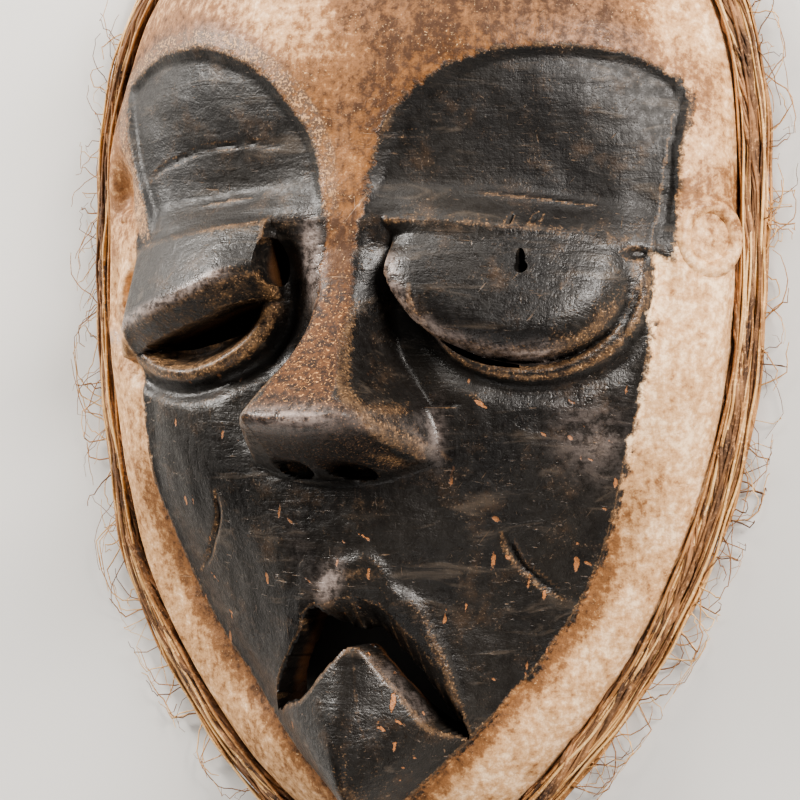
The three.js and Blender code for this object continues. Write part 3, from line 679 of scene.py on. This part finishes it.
def speckle(tree, where, scale, detail=4.0, roughness=0.6, distortion=0.0):
    sockets = {"Vector": where, "Scale": scale, "Detail": detail, "Roughness": roughness}
    return put(tree, "TexNoise", {**sockets, "Distortion": distortion}).outputs[0]


def known(tree, name):
    return put(tree, "Attribute", attribute_name=name).outputs["Fac"]


def group(name, inputs, outputs):
    tree = bpy.data.node_groups.new(name, "ShaderNodeTree")
    for title, kind, value in inputs:
        socket = tree.interface.new_socket(title, in_out="INPUT", socket_type="NodeSocket" + kind)
        if value is not None:
            socket.default_value = value
    for title, kind in outputs:
        tree.interface.new_socket(title, in_out="OUTPUT", socket_type="NodeSocket" + kind)
    return tree, tree.nodes.new("NodeGroupInput").outputs, tree.nodes.new("NodeGroupOutput").inputs


def along_turn(tree, given, stretch):
    """Places turned and stretched, so that a noise read there runs one way."""
    turn = {"Vector": given["Where"], "Angle": given["Turn"]}
    turned = put(tree, "VectorRotate", turn, rotation_type="Z_AXIS").outputs[0]
    return put(tree, "VectorMath", {0: turned, 1: stretch}, operation="MULTIPLY").outputs[0]


# Long fine marks that run one way, as of a knife or of the grain.
scratches, given, result = group(
    "scratches",
    [("Where", "Vector", None), ("Turn", "Float", 0.0), ("Fineness", "Float", 900.0),
     ("Share", "Float", 0.5)],
    [("Marks", "Float")])
drawn = along_turn(scratches, given, (0.045, 1.0, 0.35))
lines = speckle(scratches, drawn, given["Fineness"], 3, 0.7)
patches = put(scratches, "TexNoise", {"Vector": given["Where"], "Scale": 70.0, "Detail": 2.0}).outputs[0]
threshold = sums(scratches, "SUBTRACT", 0.78, times(scratches, given["Share"], 0.3))
shown = slope(scratches, sums(scratches, "SUBTRACT", lines, threshold), 0.0, 0.07)
shown = times(scratches, shown, slope(scratches, patches, 0.42, 0.6))
scratches.links.new(shown, result["Marks"])

# Short dents, each a small oval where the finish is knocked off. A rough value, such as a
# fine noise, makes their edges torn.
dents, given, result = group(
    "dents",
    [("Where", "Vector", None), ("Turn", "Float", 0.0), ("Scale", "Float", 110.0),
     ("Share", "Float", 0.3), ("Rough", "Float", 0.5)],
    [("Marks", "Float")])
drawn = along_turn(dents, given, (1.0, 0.2, 0.5))
cells = put(dents, "TexVoronoi", {"Vector": drawn, "Scale": given["Scale"], "Randomness": 1.0})
lot = put(dents, "SeparateColor", {0: cells.outputs["Color"]}).outputs[0]
chosen = sums(dents, "LESS_THAN", lot, given["Share"])
wide = times(dents, sums(dents, "SUBTRACT", given["Share"], lot), 0.16)
torn = times(dents, sums(dents, "SUBTRACT", given["Rough"], 0.5), 0.42)
reach = sums(dents, "ADD", sums(dents, "ADD", wide, 0.05), torn)
shown = slope(dents, sums(dents, "SUBTRACT", reach, cells.outputs["Distance"]), 0.0, 0.035)
dents.links.new(times(dents, chosen, shown), result["Marks"])


def marks(tree, kind, **sockets):
    return put(tree, "Group", sockets, node_tree=kind).outputs[0]


def new_finish(name):
    material = bpy.data.materials.new(name)
    material.use_nodes = True
    tree = material.node_tree
    shader = tree.nodes["Principled BSDF"]
    where = put(tree, "TexCoord").outputs["Object"]
    return material, tree, shader, where


aged, tree, shader, where = new_finish("aged_wood")
blackened, edge, tone = (known(tree, n) for n in ("blackened", "edge", "tone"))
rubbed, polish_and_painted_highlight, brow, ridge, front = (known(tree, n) for n in ("rubbed", "polish_and_painted_highlight", "brow", "ridge", "front"))
axes = put(tree, "SeparateXYZ", {0: where}).outputs
height_up = axes[1]  # from the middle of the mask to its crown

coarse = speckle(tree, where, 26, 5, 0.62)
middling = speckle(tree, where, 95, 5, 0.65)
gritty = speckle(tree, where, 420, 4, 0.7)
powder = speckle(tree, where, 1500, 2, 0.6)
down_grain = put(tree, "VectorMath", {0: where, 1: (1.0, 0.09, 0.6)}, operation="MULTIPLY").outputs[0]
streaks = speckle(tree, down_grain, 330, 4, 0.65, 0.4)
cross_grain = put(tree, "VectorMath", {0: where, 1: (0.12, 1.0, 0.5)}, operation="MULTIPLY").outputs[0]
cuts = speckle(tree, cross_grain, 210, 4, 0.6, 0.8)

# White clay over tan wood, then brown patina where the tone is deep
clay, tan_wood = seen(250, 218, 180), seen(198, 155, 112)
brown_wood, patina = seen(136, 94, 58), seen(72, 46, 26)
deep = sums(tree, "ADD", tone, uneven(tree, (middling, 0.7), (gritty, 1.3), (streaks, 0.5)))
bare = over(tree, slope(tree, deep, -0.05, 0.42), clay, tan_wood)
bare = over(tree, slope(tree, deep, 0.35, 0.7), bare, brown_wood)
bare = over(tree, slope(tree, deep, 0.65, 1.1), bare, patina)
flecks = times(tree, slope(tree, powder, 0.62, 0.74), slope(tree, middling, 0.45, 0.6))
bare = over(tree, times(tree, flecks, 0.7), bare, seen(226, 192, 148))

# The ridge of the nose is darker and smoky, with fine bright chips. Below the tip its underside is darker
# still: smoky wood with painted shade.
smoky = over(tree, slope(tree, gritty, 0.4, 0.62), seen(44, 28, 18), seen(98, 64, 38))
smoky = over(tree, slope(tree, powder, 0.58, 0.7), smoky, seen(200, 150, 98))
# Painted shade: the underside of the nose is a near black brown, darker than its smoky wood alone
smoky_and_shaded_underside = over(tree, slope(tree, gritty, 0.45, 0.65), seen(24, 19, 16), seen(50, 36, 27))
smoky_and_shaded_underside = over(tree, slope(tree, powder, 0.58, 0.72), smoky_and_shaded_underside, seen(150, 112, 80))
smoky = over(tree, slope(tree, height_up, -0.006, -0.017), smoky, smoky_and_shaded_underside)
on_ridge = times(tree, slope(tree, height_up, 0.034, 0.02), slope(tree, ridge, -4, 1))
bare = over(tree, on_ridge, bare, smoky)

# Soot black, brown where it is thin, with dust in its pores
soot, thin_soot, brown_soot = seen(23, 21, 20), seen(38, 35, 32), seen(60, 48, 38)
black = over(tree, slope(tree, coarse, 0.35, 0.65), soot, thin_soot)
black = over(tree, slope(tree, middling, 0.52, 0.74), black, brown_soot)
black = over(tree, times(tree, slope(tree, cuts, 0.55, 0.72), 0.5), black, seen(88, 78, 68))
dusty = times(tree, slope(tree, powder, 0.6, 0.72), slope(tree, middling, 0.46, 0.62))
black = over(tree, times(tree, dusty, 0.5), black, seen(136, 116, 96))
ragged = sums(tree, "ADD", blackened, uneven(tree, (gritty, 4.5), (middling, 6.5)))
is_black = slope(tree, ragged, -0.8, 0.8)
colour = over(tree, is_black, bare, black)

# A worn band runs round the edge of the brow hollow on the mask's right
rim_band = times(tree, slope(tree, brow, -5.5, -4.0), slope(tree, brow, 1.0, -0.5))
rim_band = times(tree, rim_band, slope(tree, axes[0], 0.002, -0.006))
band_colour = times(tree, rim_band, slope(tree, gritty, 0.36, 0.56, 0.15, 0.85))
colour = over(tree, band_colour, colour, seen(92, 76, 64))
rim_chips = times(tree, rim_band, slope(tree, sums(tree, "ADD", powder, gritty), 1.04, 1.14))
colour = over(tree, times(tree, rim_chips, 0.8), colour, seen(196, 154, 112))

# Wear: rubbed places, sharp edges, knife marks and dents let the wood show
chips = weighed(tree, (powder, 0.8), (streaks, 0.7))
wear_noise = sums(tree, "SUBTRACT", weighed(tree, (middling, 0.6), (gritty, 0.7)), 0.65)
rubbed_bare = slope(tree, sums(tree, "ADD", rubbed, wear_noise), 0.3, 0.85)
rubbed_bare = times(tree, rubbed_bare, slope(tree, chips, 0.6, 0.9, 0.35, 1.0))
bare_wood = over(tree, slope(tree, gritty, 0.35, 0.62), seen(78, 57, 41), seen(140, 108, 76))
bare_wood = over(tree, slope(tree, powder, 0.58, 0.7), bare_wood, seen(206, 164, 120))
colour = over(tree, times(tree, rubbed_bare, 0.9), colour, bare_wood)
worn_edge = sums(tree, "ADD", edge, times(tree, sums(tree, "SUBTRACT", chips, 0.75), 1.6))
worn_edge = times(tree, slope(tree, worn_edge, 0.5, 1.1), times(tree, is_black, 0.4))
colour = over(tree, worn_edge, colour, bare_wood)
across_marks = marks(tree, scratches, Where=where, Turn=0.08, Fineness=1000.0, Share=0.45)
down_marks = marks(tree, scratches, Where=where, Turn=1.5, Fineness=1100.0, Share=0.35)
slant_marks = marks(tree, scratches, Where=where, Turn=-0.9, Fineness=800.0, Share=0.35)
all_marks = sums(tree, "MAXIMUM", across_marks, sums(tree, "MAXIMUM", down_marks, slant_marks))
colour = over(tree, times(tree, all_marks, 0.45), colour, seen(158, 130, 104))
down_dents = marks(tree, dents, Where=where, Turn=0.15, Scale=260.0, Share=0.8, Rough=gritty)
slant_dents = marks(tree, dents, Where=where, Turn=-1.0, Scale=240.0, Share=0.6, Rough=gritty)
low_face = times(tree, is_black, slope(tree, height_up, 0.01, -0.012))
low_face = times(tree, low_face, slope(tree, coarse, 0.4, 0.54))
face_dents = times(tree, sums(tree, "MAXIMUM", down_dents, slant_dents), low_face)
dent_wood = times(tree, face_dents, slope(tree, powder, 0.3, 0.55, 0.45, 0.95))
colour = over(tree, dent_wood, colour, seen(176, 120, 78))

# Grooves and creases are darkened as painted shade, polished places get a painted grey highlight, and the
# back is raw dark wood
# Painted shade: concave places in the black are darkened towards near black
painted_crease_shade = times(tree, slope(tree, times(tree, edge, -1.0), 0.25, 1.0), times(tree, is_black, 0.8))
colour = over(tree, painted_crease_shade, colour, seen(20, 17, 15))
# Painted highlight: polished places are greyed towards a pale grey, as the shine of the lights on them
painted_highlight = slope(tree, weighed(tree, (cuts, 0.5), (gritty, 0.5)), 0.4, 0.6, 0.1, 0.9)
painted_highlight = times(tree, sums(tree, "POWER", polish_and_painted_highlight, 1.8), painted_highlight)
colour = over(tree, times(tree, painted_highlight, 0.8), colour, seen(170, 155, 148))
raw = over(tree, streaks, seen(66, 44, 30), seen(112, 78, 52))
raw = over(tree, slope(tree, coarse, 0.4, 0.7), raw, seen(46, 34, 27))
colour = over(tree, slope(tree, front, 0.2, 0.6), raw, colour)

# The soot is glossier than bare wood, the brow less so, and polished places the most
gloss = over(tree, is_black, grey(0.62), grey(0.35))
gloss = over(tree, slope(tree, brow, -9, -5), gloss, grey(0.48))
gloss = over(tree, sums(tree, "POWER", polish_and_painted_highlight, 0.6), gloss, grey(0.24))
gloss = put(tree, "SeparateColor", {0: gloss}).outputs[0]
gloss = sums(tree, "ADD", gloss, slope(tree, gritty, 0.3, 0.7, -0.08, 0.14))
gloss = sums(tree, "ADD", gloss, times(tree, rubbed_bare, 0.1))

relief = weighed(
    tree, (gritty, 0.5), (powder, 0.22), (streaks, 0.3), (cuts, times(tree, is_black, 0.8)),
    (middling, 0.7), (all_marks, -0.4), (face_dents, -0.9))
bump = put(tree, "Bump", {"Height": relief, "Distance": 0.0008, "Strength": 0.6}).outputs[0]
feed(tree, shader, {"Base Color": colour, "Roughness": gloss, "Specular IOR Level": 0.4, "Normal": bump})

wood.data.materials.clear()
wood.data.materials.append(aged)
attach(wood, "root")
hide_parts("carved_mask")


# The rim cord is a rough roll of dark bast fibre laid against the side of the rim. It is
# built of many thin strands that twist round one another along the outline.
CORD_RADIUS, CORD_HEIGHT, CORD_GAP, CORD_STRANDS = 2.6, 5.6, 0.4, 34
PATH_STEPS = 520


def rim_path(count):
    """Places evenly along the outline, with the way out from the wood at each."""
    turn = np.linspace(-1, 1, 400, endpoint=False)
    points = []
    for side in (1, -1):
        share = side * np.sin(turn * math.pi / 2)
        y = np.where(share < 0, -share * CHIN_Y, share * CROWN_Y)
        points.append(np.stack([side * half_width(y, side), y + EYE_LINE], 1))
    loop = np.concatenate(points)
    loop = np.vstack([loop, loop[:1]])
    length = np.concatenate([[0], np.cumsum(np.hypot(*np.diff(loop, axis=0).T))])
    at = np.linspace(0, length[-1], count, endpoint=False)
    even = np.stack([np.interp(at, length, loop[:, i]) for i in (0, 1)], 1)
    for _ in range(3):
        even = (np.roll(even, 1, 0) + 2 * even + np.roll(even, -1, 0)) / 4
    ahead = np.roll(even, -2, 0) - np.roll(even, 2, 0)
    out = np.stack([ahead[:, 1], -ahead[:, 0]], 1) / np.hypot(*ahead.T)[:, None]
    return even, out, length[-1]


def strands(name, lines, tints):
    """Each line is its points in millimetres, its radius, whether it closes, and its tint."""
    curve = bpy.data.curves.new(name, "CURVE")
    curve.dimensions = "3D"
    curve.bevel_depth = 0.001
    curve.bevel_resolution = 0
    curve.resolution_u = 1
    curve.use_fill_caps = True
    for tint in tints:
        curve.materials.append(tint)
    for points, radius, closed, tint in lines:
        spline = curve.splines.new("POLY")
        spline.points.add(len(points) - 1)
        spline.points.foreach_set("co", np.hstack([points / 1000, np.ones((len(points), 1))]).ravel())
        spline.points.foreach_set("radius", np.broadcast_to(radius, len(points)).astype(np.float32))
        spline.use_cyclic_u = closed
        spline.material_index = tint
    drawn = bpy.data.objects.new(name, curve)
    bpy.context.collection.objects.link(drawn)
    mesh = bpy.data.meshes.new_from_object(drawn.evaluated_get(bpy.context.evaluated_depsgraph_get()))
    bpy.data.objects.remove(drawn)
    for face in mesh.polygons:
        face.use_smooth = True
    made = bpy.data.objects.new(name, mesh)
    bpy.context.collection.objects.link(made)
    return made


def fibre_finish(name, dark, light, least_rough):
    material, tree, shader, where = new_finish(name)
    broad, fine = speckle(tree, where, 60, 3), speckle(tree, where, 900, 3, 0.7)
    tone = over(tree, slope(tree, broad, 0.35, 0.65), seen(*dark), seen(*light))
    bright = seen(*(min(255, part + 28) for part in light))
    tone = over(tree, slope(tree, fine, 0.5, 0.7), tone, bright)
    rough = slope(tree, fine, 0.3, 0.7, least_rough, least_rough + 0.2)
    bump = put(tree, "Bump", {"Height": fine, "Distance": 0.0002, "Strength": 0.5}).outputs[0]
    feed(tree, shader, {"Base Color": tone, "Roughness": rough, "Normal": bump})
    return material


bast = [
    fibre_finish("dark_bast", (64, 44, 31), (122, 88, 60), 0.75),
    fibre_finish("brown_bast", (98, 68, 44), (164, 120, 82), 0.7)]
chance = np.random.default_rng(21)
path, out, length = rim_path(PATH_STEPS)
along = np.linspace(0, math.tau, PATH_STEPS, endpoint=False)
cord_lines = []
for _ in range(CORD_STRANDS):
    turns = int(chance.integers(4, 16))
    start = chance.uniform(0, math.tau)
    reach = CORD_RADIUS * math.sqrt(chance.uniform(0.15, 1.0)) - 0.3
    angle = start + turns * along + 0.5 * np.sin(along * chance.integers(5, 12) + start)
    reach = reach + 0.35 * np.sin(along * chance.integers(30, 60) + start)
    reach = reach + 0.2 * np.sin(along * chance.integers(70, 120))
    sideways = CORD_GAP + CORD_RADIUS + 0.35 * np.sin(3 * along + 1) + reach * np.cos(angle)
    points = np.column_stack([path + out * sideways[:, None], CORD_HEIGHT + reach * np.sin(angle)])
    thick = chance.uniform(0.32, 0.7) * (1 + 0.3 * np.sin(along * chance.integers(20, 50) + start))
    cord_lines.append((points, thick, True, int(chance.random() < 0.4)))
cord = strands("rim_cord_fibres", cord_lines, bast)
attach(cord, "root")
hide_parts("rim_cord")


# The raffia binding is a flat bundle of dry palm strands outside the cord. A few strands
# run on top of the cord and hold it to the rim, and many strand ends have worked loose.
RAFFIA_REACH, RAFFIA_HEIGHT, RAFFIA_STRANDS = 6.3, 2.6, 36
straw = [
    fibre_finish("pale_raffia", (176, 132, 84), (218, 180, 128), 0.55),
    fibre_finish("tan_raffia", (136, 94, 56), (182, 136, 88), 0.6),
    fibre_finish("brown_raffia", (84, 56, 34), (132, 92, 58), 0.65)]
raffia_lines = []
for strand in range(RAFFIA_STRANDS):
    start = chance.uniform(0, math.tau)
    side_place, up_place = chance.uniform(-1.6, 1.9), chance.uniform(-1.9, 2.6)
    if strand % 6 == 0:
        side_place, up_place = chance.uniform(-4.6, -1.8), chance.uniform(4.4, 5.6)
    drift = 0.55 * np.sin(along * chance.integers(4, 9) + start)
    drift = drift + 0.3 * np.sin(along * chance.integers(14, 33) + 2 * start)
    lift = 0.6 * np.sin(along * chance.integers(3, 8) + 3 * start)
    lift = lift + 0.25 * np.sin(along * chance.integers(17, 29))
    sideways = RAFFIA_REACH + side_place + drift
    height = np.maximum(RAFFIA_HEIGHT + up_place + lift, 0.55)
    points = np.column_stack([path + out * sideways[:, None], height])
    thick = chance.uniform(0.28, 0.52)
    raffia_lines.append((points, thick, True, int(chance.choice(3, p=[0.45, 0.35, 0.2]))))
binding = strands("raffia_bundle", raffia_lines, straw)
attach(binding, "root")
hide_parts("raffia_binding")

# Fewer ends are loose round the crown, and those of the upper half reach less far
LOOSE_TRIES, LOOSE_POINTS = 420, 9
loose_lines = []
for _ in range(LOOSE_TRIES):
    at = int(chance.integers(0, PATH_STEPS))
    if path[at, 1] > 60 and chance.random() < 0.4:
        continue
    reach = chance.uniform(5, 17) * (1.2 if path[at, 1] < 0 else 0.8)
    forward = chance.uniform(-22, 22)
    rise = chance.uniform(-1.5, 5)
    share = np.linspace(0, 1, LOOSE_POINTS)
    bend = chance.uniform(-4, 4)
    here = (at + np.round(share * forward / length * PATH_STEPS).astype(int)) % PATH_STEPS
    sideways = RAFFIA_REACH - 1 + np.minimum(reach * np.sin(share * chance.uniform(1.2, 2.6)), 10.5)
    height = np.clip(RAFFIA_HEIGHT + rise * share + bend * share * (1 - share), 0.4, 12)
    points = np.column_stack([path[here] + out[here] * sideways[:, None], height])
    points[:, :2] += chance.normal(0, 0.35, (LOOSE_POINTS, 2)) * share[:, None]
    thin = chance.uniform(0.1, 0.26)
    radius = np.linspace(thin, thin * 0.5, LOOSE_POINTS)
    loose_lines.append((points, radius, False, int(chance.choice(3, p=[0.35, 0.35, 0.3]))))
loose = strands("loose_raffia", loose_lines, straw)
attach(loose, "root")


# The setting is a plain pale floor, with four soft lights round the lying mask. It is there
# for the picture alone and is no part of the object.
bm = bmesh.new()
bmesh.ops.create_grid(bm, x_segments=1, y_segments=1, size=3)
floor = placed(bm, "floor")
paper, tree, shader, where = new_finish("pale_floor")
tone = over(tree, speckle(tree, where, 6, 2), (0.62, 0.61, 0.59, 1), (0.66, 0.65, 0.63, 1))
feed(tree, shader, {"Base Color": tone, "Roughness": 0.9})
floor.data.materials.append(paper)


def soft_light(name, place, width, height, power, tint):
    light = bpy.data.lights.new(name, "AREA")
    light.shape, light.size, light.size_y = "RECTANGLE", width, height
    light.energy, light.color = power, tint
    lamp = bpy.data.objects.new(name, light)
    lamp.location = place
    lamp.rotation_euler = (Vector((0, 0, 0.03)) - Vector(place)).to_track_quat("-Z", "Y").to_euler()
    bpy.context.collection.objects.link(lamp)


WARM = (1.0, 0.96, 0.91)
soft_light("key_light", (-1.0, 0.55, 0.53), 0.35, 0.4, 26, WARM)
soft_light("side_light", (0.95, 0.42, 0.68), 0.35, 0.5, 29, (1.0, 0.95, 0.9))
soft_light("top_light", (-0.2, 1.0, 0.75), 0.6, 0.35, 8, WARM)
soft_light("fill_light", (0.1, -0.95, 0.75), 0.8, 0.4, 2.5, (1.0, 0.97, 0.94))
world = bpy.data.worlds.new("room")
world.use_nodes = True
room_light = {"Color": (1.0, 0.98, 0.96, 1), "Strength": 0.08}
feed(world.node_tree, world.node_tree.nodes["Background"], room_light)
bpy.context.scene.world = world
bpy.context.scene.view_settings.look = "AgX - Medium High Contrast"
